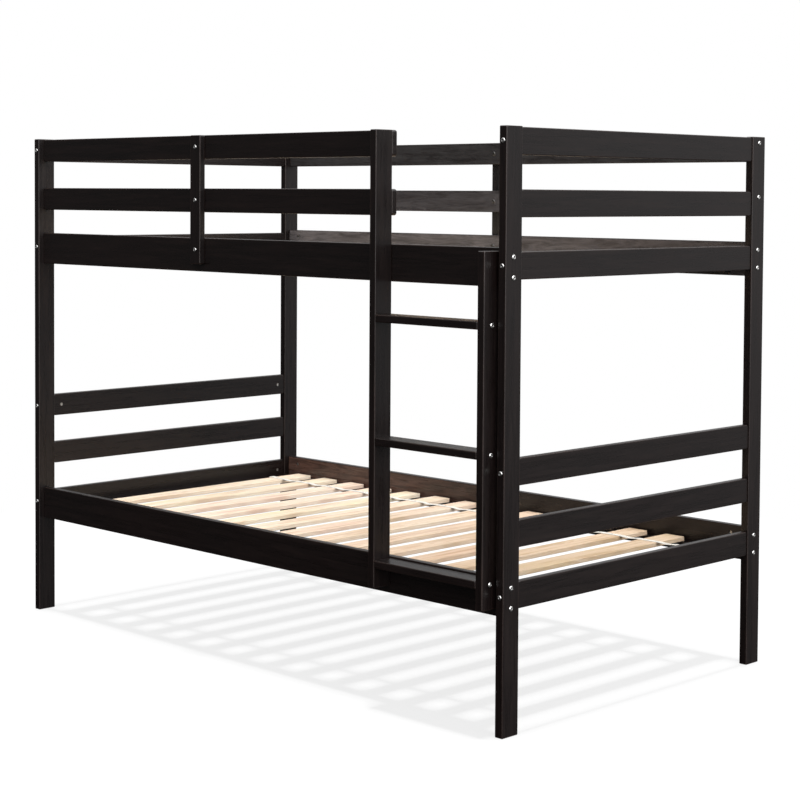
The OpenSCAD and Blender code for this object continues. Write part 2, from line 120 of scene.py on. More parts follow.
class Graph:
    """Short names for the nodes of one shader tree."""

    def __init__(self, tree):
        self.tree = tree

    def node(self, kind, **settings):
        made = self.tree.nodes.new("ShaderNode" + kind)
        for name, value in settings.items():
            setattr(made, name, value)
        return made

    def put(self, socket, value):
        if isinstance(value, bpy.types.NodeSocket):
            self.tree.links.new(value, socket)
        else:
            socket.default_value = value

    def made(self, node, *values, output=0, **named):
        """One output of a node, once its inputs are set in order or by name."""
        for socket, value in zip(node.inputs, values):
            self.put(socket, value)
        for name, value in named.items():
            self.put(node.inputs[name], value)
        return node.outputs[output]

    def math(self, operation, *values, clamp=False):
        return self.made(self.node("Math", operation=operation, use_clamp=clamp), *values)

    def vector(self, operation, *values, output=0):
        return self.made(self.node("VectorMath", operation=operation), *values, output=output)

    def split(self, value):
        return self.outputs(self.node("SeparateXYZ"), value)

    def outputs(self, node, value):
        self.put(node.inputs[0], value)
        return list(node.outputs)

    def join(self, x, y, z):
        return self.made(self.node("CombineXYZ"), x, y, z)

    def noise(self, place, scale, detail=2.0, roughness=0.5, distortion=0.0):
        return self.made(
            self.node("TexNoise"), Vector=place, Scale=scale, Detail=detail,
            Roughness=roughness, Distortion=distortion,
        )

    def ramp(self, value, *stops):
        node = self.node("ValToRGB")
        points = node.color_ramp.elements
        while len(points) < len(stops):
            points.new(0.5)
        for point, (where, shade) in zip(points, stops):
            point.position = where
            point.color = (*shade, 1) if isinstance(shade, tuple) else (shade, shade, shade, 1)
        return self.made(node, value)

    def fit(self, value, low, high, to_low=0.0, to_high=1.0):
        """Smoothly from to_low to to_high, as a value goes from low to high."""
        node = self.node("MapRange", interpolation_type="SMOOTHSTEP")
        return self.made(node, value, low, high, to_low, to_high)

    def mix(self, share, a, b, blend="MIX"):
        node = self.node("Mix", data_type="RGBA", blend_type=blend)
        self.put(node.inputs["Factor"], share)
        self.put(node.inputs[6], a)
        self.put(node.inputs[7], b)
        return node.outputs[2]

    def bump(self, height, depth, normal=None):
        node = self.node("Bump")
        node.inputs["Strength"].default_value = 1.0
        node.inputs["Distance"].default_value = depth
        self.put(node.inputs["Height"], height)
        if normal is not None:
            self.put(node.inputs["Normal"], normal)
        return node.outputs[0]


def new_material(name):
    """A material, its graph and its Principled shader."""
    material = bpy.data.materials.new(name)
    material.use_nodes = True
    shader = material.node_tree.nodes["Principled BSDF"]
    return material, Graph(material.node_tree), shader


def rgb(r, g, b):
    return (r, g, b, 1)


def make_world():
    """White to the camera; to the bed, a studio with soft lamps and a horizon that is bright behind it."""
    world = bpy.data.worlds.new("studio")
    world.use_nodes = True
    bpy.context.scene.world = world
    g = Graph(world.node_tree)
    g.tree.nodes.clear()
    direction = g.node("TexCoord").outputs["Generated"]
    height = g.split(direction)[2]

    def towards(side, low, high, *ends):
        """From the first end to the second, as the direction turns to a side."""
        nearness = g.vector("DOT_PRODUCT", direction, Vector(side).normalized(), output=1)
        return g.fit(nearness, low, high, *ends)

    horizon = towards(BRIGHT_SIDE, -0.1, 0.9, HORIZON_DIM, HORIZON_BRIGHT)
    horizon = g.math("MULTIPLY", horizon, g.fit(height, -0.25, 0.02, BELOW_SHARE, 1.0))
    strength = g.math("MULTIPLY", horizon, g.fit(height, 0.0, 0.3, 1.0, ABOVE_SHARE))
    for way, bright, rim, core in LAMPS:
        strength = g.math("ADD", strength, towards(way, rim, core, 0.0, bright))
    seen = g.node("Background")
    lit = g.node("Background")
    g.put(lit.inputs["Strength"], strength)
    g.put(seen.inputs["Color"], rgb(1, 1, 1))
    g.put(lit.inputs["Color"], rgb(0.985, 0.99, 1))
    mixed = g.node("MixShader")
    g.put(mixed.inputs[0], g.node("LightPath").outputs["Is Camera Ray"])
    g.put(mixed.inputs[1], lit.outputs[0])
    g.put(mixed.inputs[2], seen.outputs[0])
    g.put(g.node("OutputWorld").inputs[0], mixed.outputs[0])


def make_floor():
    shape = bmesh.new()
    bmesh.ops.create_circle(shape, cap_ends=True, segments=96, radius=FLOOR_RADIUS)
    mesh = bpy.data.meshes.new("floor")
    shape.to_mesh(mesh)
    floor = bpy.data.objects.new("floor", mesh)
    bpy.context.scene.collection.objects.link(floor)
    material, _, shader = new_material("pale_floor")
    shader.inputs["Base Color"].default_value = rgb(*[FLOOR_SHADE] * 3)
    shader.inputs["Roughness"].default_value = 0.8
    shader.inputs["Specular IOR Level"].default_value = 0.2
    shader.inputs["Emission Color"].default_value = rgb(1, 1, 1)
    shader.inputs["Emission Strength"].default_value = FLOOR_GLOW
    mesh.materials.append(material)
    # The bed neither mirrors the floor nor takes light from it
    floor.visible_glossy = False
    floor.visible_diffuse = False
    return floor


# ---- Materials ----

# For grain along each axis, the axes that run across, through and along it
GRAIN_AXES = {"X": (1, 2, 0), "Y": (0, 2, 1), "Z": (0, 1, 2)}


def object_value(g, name, output="Fac"):
    """A value that each object carries as a custom property."""
    return g.node("Attribute", attribute_type="OBJECT", attribute_name=name).outputs[output]


def edge_nearness(g, place, reach):
    """1 on a board's edges and 0 from reach inwards, from the board's own box."""
    low = g.split(g.vector("SUBTRACT", place, object_value(g, "board_low", "Vector")))
    high = g.split(g.vector("SUBTRACT", object_value(g, "board_high", "Vector"), place))
    x, y, z = (g.math("MINIMUM", a, b) for a, b in zip(low, high))
    middle = g.math("MAXIMUM", g.math("MINIMUM", x, y), g.math("MINIMUM", g.math("MAXIMUM", x, y), z))
    return g.fit(middle, 0.0, reach, 1.0, 0.0)


def painted_bounce_light(g, place, across, through, along, seed):
    """How strongly bounce light from the slats is painted: wispy, only on the face that a board turns to
    the bed, and fading along X.
    """
    normal = g.node("NewGeometry").outputs["True Normal"]
    turned = g.vector("DOT_PRODUCT", normal, object_value(g, "inner_way", "Vector"), output=1)
    shifted = g.join(g.math("ADD", across, seed), through, g.math("MULTIPLY", along, 0.13))
    wisps = g.noise(shifted, 42, 5.0, 0.68, 1.6)
    low, high, x = (g.split(v)[0] for v in (
        object_value(g, "board_low", "Vector"), object_value(g, "board_high", "Vector"), place))
    share = g.math("DIVIDE", g.math("SUBTRACT", x, low), g.math("SUBTRACT", high, low))
    start, stop, left = g.split(object_value(g, "bounce_light_fade", "Vector"))
    fade = g.fit(share, start, stop, 1.0, left)
    patchy = g.math("MULTIPLY", fade, g.fit(wisps, 0.3, 0.68, 0.3, 1.0))
    return g.math("MULTIPLY", g.fit(turned, 0.8, 0.95), patchy)


def espresso(grain):
    """Dark-stained wood under satin lacquer, its grain along one axis."""
    material, g, shader = new_material("espresso_" + grain.lower())
    place = g.node("TexCoord").outputs["Object"]
    parts = g.split(place)
    across, through, along = (parts[i] for i in GRAIN_AXES[grain])
    seed = object_value(g, "grain_seed")
    shifted = g.join(
        g.math("ADD", across, seed), through,
        g.math("MULTIPLY_ADD", along, 0.055, g.math("MULTIPLY", seed, 0.37)),
    )
    streaks = g.noise(shifted, 75, 5.0, 0.62, 0.6)
    fibres = g.noise(g.vector("MULTIPLY", shifted, (1, 1, 0.55)), 640, 3.0, 0.6)
    clouds = g.noise(place, 3.2, 2.0)
    tone = g.math("ADD", g.math("MULTIPLY", streaks, 0.6), g.math("MULTIPLY", fibres, 0.4))
    wood = g.ramp(
        tone, (0.3, (0.0022, 0.0014, 0.0014)), (0.5, (0.0042, 0.0024, 0.0022)),
        (0.68, (0.0085, 0.0045, 0.0038)),
    )
    wood = g.mix(g.fit(clouds, 0.35, 0.7, 0.0, 0.3), wood, rgb(0.007, 0.0032, 0.0028))
    # Painted bounce light: the faces turned to the bed are painted paler, as if lit by the slats
    bounce_light_share = painted_bounce_light(g, place, across, through, along, seed)
    wood = g.mix(bounce_light_share, wood, object_value(g, "bounce_light_tone", "Color"))
    edges = edge_nearness(g, place, 4.5 * MM)
    worn = g.math("MULTIPLY", edges, g.fit(streaks, 0.35, 0.75, 0.25, 0.8))
    g.put(shader.inputs["Base Color"], g.mix(worn, wood, rgb(0.022, 0.011, 0.008)))
    g.put(shader.inputs["Roughness"], g.fit(tone, 0.3, 0.7, 0.24, 0.38))
    lacquer = g.bump(g.noise(place, 420, 1.0), 0.02 * MM)
    height = g.math("ADD", g.math("MULTIPLY", fibres, 0.8), g.math("MULTIPLY", streaks, 0.6))
    g.put(shader.inputs["Normal"], g.bump(height, 0.12 * MM, lacquer))
    shader.inputs["Specular IOR Level"].default_value = 0.45
    return material


# Knots: the cells per metre that may hold one, the share that don't, and the reach of the grain's swirl
KNOT_CELLS = 5.2
KNOT_FREE = 0.5
KNOT_SWIRL = 11 * MM


def knots(g, local):
    """How far a point is from the nearest knot, and how much the grain swirls there."""
    cells = g.node("TexVoronoi", voronoi_dimensions="3D")
    g.put(cells.inputs["Vector"], local)
    g.put(cells.inputs["Scale"], KNOT_CELLS)
    lucky = g.outputs(g.node("SeparateColor"), cells.outputs["Color"])[0]
    empty = g.math("SUBTRACT", 1.0, g.math("GREATER_THAN", lucky, KNOT_FREE))
    apart = g.math("ADD", g.math("DIVIDE", cells.outputs["Distance"], KNOT_CELLS), empty)
    reach = g.math("POWER", g.math("DIVIDE", apart, KNOT_SWIRL), 2.0)
    return apart, g.math("EXPONENT", g.math("MULTIPLY", reach, -1.0))


def growth_rings(g, across, along, up, slat, chances, swirl):
    """Rings round a pith that runs along the slat and drifts out of line with it."""
    first, second, third = chances

    def drift(share, amount):
        """How far the pith has strayed at a place along the slat."""
        return g.math("MULTIPLY", along, g.math("MULTIPLY", g.math("SUBTRACT", share, 0.5), amount))

    pith_x = g.math("ADD", g.math("MULTIPLY", g.math("SUBTRACT", first, 0.5), 0.11), drift(second, 0.035))
    pith_z = g.math("ADD", g.math("MULTIPLY_ADD", second, -0.05, -0.012), drift(third, 0.05))
    squares = [g.math("POWER", g.math("SUBTRACT", a, b), 2.0) for a, b in ((across, pith_x), (up, pith_z))]
    radius = g.math("POWER", g.math("ADD", *squares), 0.5)
    stretched = g.join(g.math("MULTIPLY", across, 0.8), g.math("MULTIPLY", along, 0.5), slat)
    waver = g.math("SUBTRACT", g.noise(stretched, 7.0, 2.0, 0.5), 0.5)
    radius = g.math("ADD", radius, g.math("MULTIPLY", waver, 0.022))
    radius = g.math("ADD", radius, g.math("MULTIPLY", swirl, 0.016))
    ring_apart = g.math("MULTIPLY_ADD", third, 2.6 * MM, 3.0 * MM)
    phase = g.math("FRACT", g.math("DIVIDE", radius, ring_apart))
    return g.ramp(phase, (0.0, 0.12), (0.45, 0.2), (0.82, 0.95), (0.93, 0.75), (1.0, 0.12))


def pine(pitch, count, split_z):
    """Bare planed pine with growth rings and knots; each slat is cut from its own log."""
    material, g, shader = new_material("pine")
    place = g.node("TexCoord").outputs["Object"]
    x, y, z = g.split(place)
    number = g.math("FLOOR", g.math("MULTIPLY_ADD", x, 1 / pitch, count / 2))
    is_upper = g.math("GREATER_THAN", z, split_z)
    slat = g.math("ADD", number, g.math("MULTIPLY", is_upper, 40.0))
    chance = g.node("TexWhiteNoise", noise_dimensions="1D")
    g.put(chance.inputs["W"], slat)
    chances = g.outputs(g.node("SeparateColor"), chance.outputs["Color"])
    first, second, third = chances
    slat_x = g.math("MULTIPLY", g.math("SUBTRACT", number, (count - 1) / 2), pitch)
    local_x = g.math("SUBTRACT", x, slat_x)
    # Height within the log, which starts anew for the upper deck
    level = g.math("SUBTRACT", z, g.math("MULTIPLY_ADD", is_upper, split_z, 0.33))
    apart, swirl = knots(g, g.join(local_x, y, g.math("MULTIPLY", slat, 3.7)))
    rings = growth_rings(g, local_x, y, level, slat, chances, swirl)

    def lengthwise(shrink, through, scale, detail, roughness):
        """Noise that is drawn out along the slat."""
        return g.noise(g.join(local_x, g.math("MULTIPLY", y, shrink), through), scale, detail, roughness)

    fibres = lengthwise(0.03, g.math("ADD", z, slat), 520, 4.0, 0.65)
    broad = lengthwise(0.16, slat, 26, 3.0, 0.6)
    bands = lengthwise(0.05, slat, 85, 2.0, 0.5)

    early = g.mix(first, rgb(0.87, 0.76, 0.52), rgb(0.90, 0.70, 0.58))
    early = g.mix(g.fit(broad, 0.3, 0.7), early, rgb(0.95, 0.86, 0.72))
    late = g.mix(second, rgb(0.70, 0.48, 0.28), rgb(0.68, 0.44, 0.30))
    wood = g.mix(g.math("MULTIPLY", rings, g.fit(broad, 0.2, 0.8, 0.3, 0.75)), early, late)
    streak = g.mix(third, rgb(0.62, 0.47, 0.29), rgb(0.68, 0.45, 0.34))
    wood = g.mix(g.fit(bands, 0.48, 0.68, 0.0, 0.75), wood, streak)
    wood = g.mix(g.fit(fibres, 0.45, 0.75, 0.0, 0.3), wood, rgb(0.62, 0.45, 0.28))
    # Painted shade: the slats towards +X are darkened, standing in for the shade they lie in
    wood = g.mix(g.fit(number, 3.0, 11.0), wood, rgb(0.80, 0.72, 0.66), "MULTIPLY")
    knot = g.fit(apart, 3.2 * MM, 6.5 * MM, 1.0, 0.0)
    wood = g.mix(g.math("MULTIPLY", swirl, 0.45), wood, rgb(0.55, 0.32, 0.16))
    wood = g.mix(g.math("MULTIPLY", knot, 0.85), wood, rgb(0.27, 0.13, 0.065))
    g.put(shader.inputs["Base Color"], wood)
    g.put(shader.inputs["Roughness"], g.fit(fibres, 0.3, 0.7, 0.6, 0.78))
    height = g.math("ADD", g.math("MULTIPLY", fibres, 0.7), g.math("MULTIPLY", rings, 0.3))
    g.put(shader.inputs["Normal"], g.bump(height, 0.16 * MM))
    shader.inputs["Specular IOR Level"].default_value = 0.15
    return material


def birch():
    """Plain turned dowel wood."""
    material, g, shader = new_material("birch")
    place = g.node("TexCoord").outputs["Object"]
    grain = g.noise(place, 300, 3.0, 0.6)
    wood = g.mix(g.fit(grain, 0.3, 0.7), rgb(0.72, 0.56, 0.37), rgb(0.60, 0.43, 0.26))
    g.put(shader.inputs["Base Color"], wood)
    g.put(shader.inputs["Roughness"], g.fit(grain, 0.3, 0.7, 0.55, 0.7))
    g.put(shader.inputs["Normal"], g.bump(grain, 0.1 * MM))
    return material


def webbing():
    """Off-white plain-woven polyester tape."""
    material, g, shader = new_material("webbing")
    place = g.node("TexCoord").outputs["Object"]
    x, y, _ = g.split(place)
    warp = g.math("SINE", g.math("MULTIPLY", y, math.tau / (2.0 * MM)))
    weft = g.math("SINE", g.math("MULTIPLY", x, math.tau / (2.4 * MM)))
    weave = g.math("MULTIPLY_ADD", g.math("MULTIPLY", warp, weft), 0.5, 0.5)
    fuzz = g.noise(place, 2600, 2.0)
    soil = g.noise(place, 14, 3.0)
    yarn = g.mix(g.fit(weave, 0.15, 0.7), rgb(0.64, 0.59, 0.50), rgb(0.86, 0.83, 0.76))
    yarn = g.mix(g.fit(soil, 0.45, 0.75, 0.0, 0.25), yarn, rgb(0.68, 0.64, 0.55))
    g.put(shader.inputs["Base Color"], yarn)
    g.put(shader.inputs["Roughness"], g.fit(fuzz, 0.3, 0.7, 0.72, 0.9))
    height = g.math("ADD", weave, g.math("MULTIPLY", fuzz, 0.3))
    g.put(shader.inputs["Normal"], g.bump(height, 0.35 * MM))
    shader.inputs["Sheen Weight"].default_value = 0.25
    shader.inputs["Sheen Roughness"].default_value = 0.5
    return material


def plating(name, shade, low_roughness, high_roughness):
    """Plated steel: mottled plating with fine scratches."""
    material, g, shader = new_material(name)
    place = g.node("TexCoord").outputs["Object"]
    mottle = g.noise(place, 380, 3.0, 0.6)
    scratch = g.noise(g.vector("MULTIPLY", place, (1, 0.15, 1)), 3800, 2.0)
    dark = rgb(*(0.72 * c for c in shade))
    g.put(shader.inputs["Base Color"], g.mix(g.fit(mottle, 0.3, 0.7), dark, rgb(*shade)))
    g.put(shader.inputs["Roughness"], g.fit(mottle, 0.3, 0.7, low_roughness, high_roughness))
    g.put(shader.inputs["Normal"], g.bump(scratch, 0.02 * MM))
    shader.inputs["Metallic"].default_value = 1.0
    return material


# ---- Boards ----

CORNER_STEPS = 6
EASE_STEPS = 4
HOLE_STEPS = 32
# The longest stretch of a board's outline between two vertices
SPAN = 90 * MM
# How wide a drilled hole's edge is broken
RIM = 0.4 * MM


def thinnest(size):
    """The axis along which a box is thinnest, and the two that follow it."""
    axis = min(range(3), key=lambda i: size[i])
    return axis, (axis + 1) % 3, (axis + 2) % 3


def longest(size):
    return max(range(3), key=lambda i: size[i])


class Shell:
    """Vertices with their exact normals, and the faces between them."""

    def __init__(self):
        self.points, self.normals, self.faces = [], [], []

    def ring(self, points, normals):
        start = len(self.points)
        self.points += points
        self.normals += normals
        return list(range(start, start + len(points)))

    def band(self, below, above):
        for k in range(len(below)):
            n = (k + 1) % len(below)
            self.faces.append((below[k], below[n], above[n], above[k]))

    def bands(self, rings):
        for below, above in zip(rings, rings[1:]):
            self.band(below, above)

    def add(self, other):
        start = len(self.points)
        self.points += other.points
        self.normals += other.normals
        self.faces += [tuple(start + i for i in face) for face in other.faces]

    def mesh(self, name, material):
        mesh = bpy.data.meshes.new(name)
        mesh.from_pydata(self.points, [], self.faces)
        mesh.materials.append(material)
        mesh.shade_smooth()
        mesh.normals_split_custom_set_from_vertices(self.normals)
        return mesh


def outline(size, radius, inset):
    """Points of a rectangle with round corners and the way each one faces. Insets are along u and v."""
    half = [s / 2 for s in size]
    points, ways = [], []
    signs = ((1, 1), (-1, 1), (-1, -1), (1, -1))
    for quarter, (su, sv) in enumerate(signs):
        for k in range(CORNER_STEPS + 1):
            angle = math.tau / 4 * (quarter + k / CORNER_STEPS)
            way = Vector((math.cos(angle), math.sin(angle)))
            points.append(Vector((su * (half[0] - radius) + (radius - inset[0]) * way.x,
                                  sv * (half[1] - radius) + (radius - inset[1]) * way.y)))
            ways.append(way)
        along = quarter % 2 == 0
        far = signs[(quarter + 1) % 4]
        start = points[-1]
        stop = Vector((far[0] * (half[0] - (radius if along else inset[0])),
                       far[1] * (half[1] - (inset[1] if along else radius))))
        pieces = max(1, round((stop - start).length / SPAN))
        for k in range(1, pieces):
            points.append(start.lerp(stop, k / pieces))
            ways.append(ways[-1])
    return points, ways


def add_face(shell, rim, points, holes, side):
    """Triangles over a flat face between its rim and its holes. holes are (ring, points)."""
    flat, index, loop, edges = [], [], [], []
    for number, (ring, ring_points) in enumerate([(rim, points)] + holes):
        start = len(flat)
        flat += ring_points
        index += ring
        loop += [number] * len(ring)
        edges += [(start + k, start + (k + 1) % len(ring)) for k in range(len(ring))]
    _, _, faces, sources, _, _ = delaunay_2d_cdt(flat, edges, [], 1, 1e-7)
    for face in faces:
        source = [sources[i][0] for i in face]
        # A face between the points of one hole would close its mouth
        if loop[source[0]] and len({loop[i] for i in source}) == 1:
            continue
        turn = [index[i] for i in source]
        shell.faces.append(turn if side > 0 else turn[::-1])


def add_board(shell, low, high, ease, end_ease, corner, holes=()):
    """A board with eased edges and blind holes: ease is for its long edges, end_ease for its ends, and
    corner is the radius of its outline's corners. holes are (side, u, v, radius, depth) in its broad
    faces."""
    size = high - low
    axis, u, v = thinnest(size)
    middle = (low + high) / 2
    half_t = size[axis] / 2

    def place(point, height):
        spot = middle.copy()
        spot[u] += point.x
        spot[v] += point.y
        spot[axis] += height
        return spot

    def facing(way, height):
        normal = Vector((0, 0, 0))
        normal[u], normal[v], normal[axis] = way.x, way.y, height
        return normal.normalized()

    eases = (end_ease, ease) if size[u] > size[v] else (ease, end_ease)
    rings, rims = [], {}
    for side in (-1, 1):
        order = range(EASE_STEPS + 1) if side < 0 else range(EASE_STEPS, -1, -1)
        for k in order:
            turn = math.tau / 4 * k / EASE_STEPS
            share = 1 - math.sin(turn)
            points, ways = outline((size[u], size[v]), corner, (eases[0] * share, eases[1] * share))
            height = side * (half_t - ease * (1 - math.cos(turn)))
            flat = [math.hypot(w.x * eases[0], w.y * eases[1]) / ease for w in ways]
            normals = [facing(w * math.sin(turn), side * math.cos(turn) * f) for w, f in zip(ways, flat)]
            rings.append(shell.ring([place(p, height) for p in points], normals))
            if k == 0:
                rims[side] = (rings[-1], points)
    shell.bands(rings)
    for side, (rim, points) in rims.items():
        cut = []
        for hole_side, hu, hv, radius, depth in holes:
            if hole_side == side:
                centre = Vector((hu - middle[u], hv - middle[v]))
                cut.append(add_hole(shell, place, facing, side, centre, radius, depth, half_t))
        add_face(shell, rim, points, cut, side)


def add_hole(shell, place, facing, side, centre, radius, depth, half_t):
    """A blind hole with slightly broken edges, drilled from one broad face."""
    profile = [
        (radius + RIM, 0, 0, 1), (radius + 0.3 * RIM, 0.3 * RIM, -0.7, 0.7), (radius, RIM, -1, 0),
        (radius, depth - RIM, -1, 0), (radius - 0.3 * RIM, depth - 0.3 * RIM, -0.7, 0.7),
        (radius - RIM, depth, 0, 1),
    ]
    ways = [Vector((math.cos(math.tau * k / HOLE_STEPS), math.sin(math.tau * k / HOLE_STEPS)))
            for k in range(HOLE_STEPS)]
    rings = []
    for r, sunk, out, up in profile:
        rings.append(shell.ring([place(centre + w * r, side * (half_t - sunk)) for w in ways],
                                [facing(w * out, side * up) for w in ways]))
    shell.bands(rings if side > 0 else [ring[::-1] for ring in rings])
    shell.faces.append(rings[-1] if side > 0 else rings[-1][::-1])
    return rings[0], [centre + w * (radius + RIM) for w in ways]


def opens_at(points, face, spot, radius, axis, u, v):
    """Whether points hold the rim of a round hole in a flat face."""
    return any(
        abs(p[axis] - face) < 0.01 * MM
        and abs(math.hypot(p[u] - spot[u], p[v] - spot[v]) - radius) < 0.1 * MM
        for p in points
    )


def nut_holes(name, low, high, nuts):
    """The holes that hold barrel nuts in a board's broad faces, on the sides where its CAD is open."""
    axis, u, v = thinnest(high - low)
    points = [vertex.co for vertex in NODES[name].data.vertices]
    holes = []
    for nut_low, nut_high in nuts:
        spot = (nut_low + nut_high) / 2
        extent = nut_high - nut_low
        inside = all(low[i] < spot[i] < high[i] for i in range(3))
        if not inside or extent[axis] < 1.2 * extent[u]:
            continue
        radius = extent[u] / 2
        for side, face, far in ((-1, low[axis], nut_high[axis]), (1, high[axis], nut_low[axis])):
            if opens_at(points, face, spot, radius, axis, u, v):
                holes.append((side, spot[u], spot[v], radius, abs(far - face) + 0.2 * MM))
    return holes


def place_piece(name, mesh, node):
    """Makes an object of a mesh, in place of a CAD node."""
    piece = bpy.data.objects.new(name, mesh)
    bpy.context.scene.collection.objects.link(piece)
    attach(piece, "root")
    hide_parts(node)
    return piece


# Boards whose face towards the bed gets painted bounce light from the slats, by the words in their names:
# its tone, the shares of the board's length between which it fades, and what is left of it after that
PAINTED_BOUNCE_LIGHT = (
    (("guard_rail_top",), (0.034, 0.0325, 0.033), (0, 1, 1)),
    (("guard_rail_middle",), (0.055, 0.051, 0.053), (0, 1, 1)),
    (("guard_support",), (0.014, 0.0135, 0.0135), (0, 1, 1)),
    (("upper", "side_rail"), (0.13, 0.117, 0.117), (0.2, 1.1, 0.5)),
    (("lower", "side_rail"), (0.12, 0.066, 0.05), (0.3, 0.6, 0.02)),
)


def paint_bounce_light(piece, name, middle_y):
    """Tells the painted bounce light which face of a board is its inner one, and how it looks there."""
    for words, tone, fade in PAINTED_BOUNCE_LIGHT:
        if all(word in name for word in words):
            piece["inner_way"] = [0, -1 if middle_y > 0 else 1, 0]
            piece["bounce_light_tone"] = tone
            piece["bounce_light_fade"] = fade


# A board's eased edges in millimetres, by a word in its name: the ease along it, the ease at its ends,
# and the least radius of its outline's corners
BOARD_EDGES = (
    ("upright", 2.6, 1.6, 0),
    ("step", 3.0, 0.5, 0),
    ("post", 2.6, 1.4, 0),
    ("ledger", 1.6, 1.0, 0),
    ("support", 2.4, 1.6, 4),
    ("side_rail", 2.6, 2.0, 5),
    ("", 2.6, 2.0, 7),
)


def board_edges(name):
    ease, end_ease, corner = next(row[1:] for row in BOARD_EDGES if row[0] in name)
    return ease * MM, end_ease * MM, max(corner * MM, max(ease * MM, end_ease * MM) + 0.5 * MM)


def make_board(name, material, seed, nuts):
    low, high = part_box(name)
    shell = Shell()
    add_board(shell, low, high, *board_edges(name), nut_holes(name, low, high, nuts))
    piece = place_piece("eased_" + name, shell.mesh(name, material), name)
    piece["board_low"] = list(low)
    piece["board_high"] = list(high)
    piece["grain_seed"] = seed
    # Painted bounce light on the face towards the bed
    paint_bounce_light(piece, name, (low.y + high.y) / 2)


def bow_slat(shell, low, high, bow):
    """Lets a slat's middle sag a little."""
    middle, half = (low.y + high.y) / 2, (high.y - low.y) / 2
    for point in shell.points:
        point.z -= bow * (1 - ((point.y - middle) / half) ** 2)


def make_slats(name, boxes, material, chance):
    """The slats of one CAD node, each with a sag of its own."""
    shell = Shell()
    for low, high in boxes:
        slat = Shell()
        add_board(slat, low, high, 1.8 * MM, 1.0 * MM, 2.4 * MM)
        bow_slat(slat, low, high, chance.uniform(0.1, 0.9) * MM)
        shell.add(slat)
    place_piece("planed_" + name, shell.mesh(name, material), name)


# ---- Turned and swept pieces ----


def solids(name):
    """The points of each separate solid of a CAD node."""
    shape = bmesh.new()
    shape.from_mesh(NODES[name].data)
    bmesh.ops.remove_doubles(shape, verts=shape.verts, dist=0.002 * MM)
    found, seen = [], set()
    for start in shape.verts:
        if start in seen:
            continue
        seen.add(start)
        group, waiting = [], [start]
        while waiting:
            vert = waiting.pop()
            group.append(vert.co.copy())
            for edge in vert.link_edges:
                other = edge.other_vert(vert)
                if other not in seen:
                    seen.add(other)
                    waiting.append(other)
        found.append(group)
    shape.free()
    return found


def box_of(points):
    low = Vector([min(p[i] for p in points) for i in range(3)])
    high = Vector([max(p[i] for p in points) for i in range(3)])
    return low, high


def fastener_frames(name):
    """For each turned solid of a node: a matrix with its head on the XY plane and +Z outwards, its
    shank's length, its head's height, and the radii of its shank and its head."""
    frames = []
    for points in solids(name):
        low, high = box_of(points)
        size = high - low
        axis = longest(size)
        along = Vector([float(i == axis) for i in range(3)])
        middle = (low + high) / 2

        def radius(point):
            return (point - middle - (point - middle)[axis] * along).length

        widest = max(radius(p) for p in points)
        rim = [p[axis] for p in points if radius(p) > widest - 0.05 * MM]
        sign = 1 if sum(rim) / len(rim) > middle[axis] else -1
        end = high[axis] if sign > 0 else low[axis]
        seat = min(rim) if sign > 0 else max(rim)
        tail = low[axis] if sign > 0 else high[axis]
        shank = max(radius(p) for p in points if abs(p[axis] - tail) < 0.05 * MM)
        place = middle.copy()
        place[axis] = seat
        turn = (along * sign).to_track_quat("Z", "Y").to_matrix().to_4x4()
        frames.append((Matrix.Translation(place) @ turn, abs(seat - tail), abs(end - seat), shank, widest))
    return frames


ROUND_STEPS = 48
# A shank thicker than this is the sleeve of a sleeve nut
SLEEVE_RADIUS = 3.5 * MM


def ring(shape, place, height, radius):
    """A ring of vertices; radius is a number or a function of the angle."""
    verts = []
    for k in range(ROUND_STEPS):
        angle = math.tau * k / ROUND_STEPS
        r = radius(angle) if callable(radius) else radius
        verts.append(shape.verts.new(place @ Vector((r * math.cos(angle), r * math.sin(angle), height))))
    return verts


def skin(shape, rings, close_first=False, close_last=False):
    for a, b in zip(rings, rings[1:]):
        for k in range(len(a)):
            n = (k + 1) % len(a)
            shape.faces.new((a[k], a[n], b[n], b[k]))
    if close_first:
        shape.faces.new(list(reversed(rings[0])))
    if close_last:
        shape.faces.new(rings[-1])


def hexagon(across):
    """Radius of a hexagon of that width across its flats, by angle."""
    sixth = math.tau / 6
    return lambda angle: across / 2 / math.cos((angle % sixth) - sixth / 2)


def cross(reach, arm):
    """Radius of a cross-shaped screw recess, by angle."""
    quarter = math.tau / 4

    def radius(angle):
        off = abs(((angle + quarter / 2) % quarter) - quarter / 2)
        return min(reach, arm / max(math.sin(off), 1e-6))

    return radius


def add_bolt(shape, place, shank, head, shank_radius, head_radius):
    """Socket-head bolt, or with a thick shank, the sleeve nut that it screws into."""
    chamfer = 0.35 * MM
    bore = 3.0 * MM
    is_sleeve = shank_radius > SLEEVE_RADIUS
    top = head_radius - head
    socket = hexagon(4 * MM)
    rings = [
        ring(shape, place, -shank, shank_radius - 0.6 * MM),
        ring(shape, place, -shank + 0.6 * MM, shank_radius),
        ring(shape, place, -0.3 * MM, shank_radius),
        ring(shape, place, 0, shank_radius + 0.3 * MM),
        ring(shape, place, 0, head_radius - 0.2 * MM),
        ring(shape, place, 0.2 * MM, head_radius),
        ring(shape, place, 0.45 * head, head_radius - 0.12 * MM),
        ring(shape, place, head - chamfer, top + 0.5 * MM),
        ring(shape, place, head - 0.1 * MM, top),
        ring(shape, place, head, top - 0.5 * MM),
        ring(shape, place, head - 0.02 * MM, 3.4 * MM),
        ring(shape, place, head - 0.1 * MM, lambda angle: socket(angle) + 0.25 * MM),
        ring(shape, place, head - 0.4 * MM, socket),
        ring(shape, place, -1.0 * MM, socket),
    ]
    if is_sleeve:
        rings.append(ring(shape, place, -1.2 * MM, bore))
        rings.append(ring(shape, place, -shank, bore))
        rings.append(rings[0])
        skin(shape, rings)
    else:
        rings.append(ring(shape, place, -1.6 * MM, 0.8 * MM))
        skin(shape, rings, close_first=True, close_last=True)


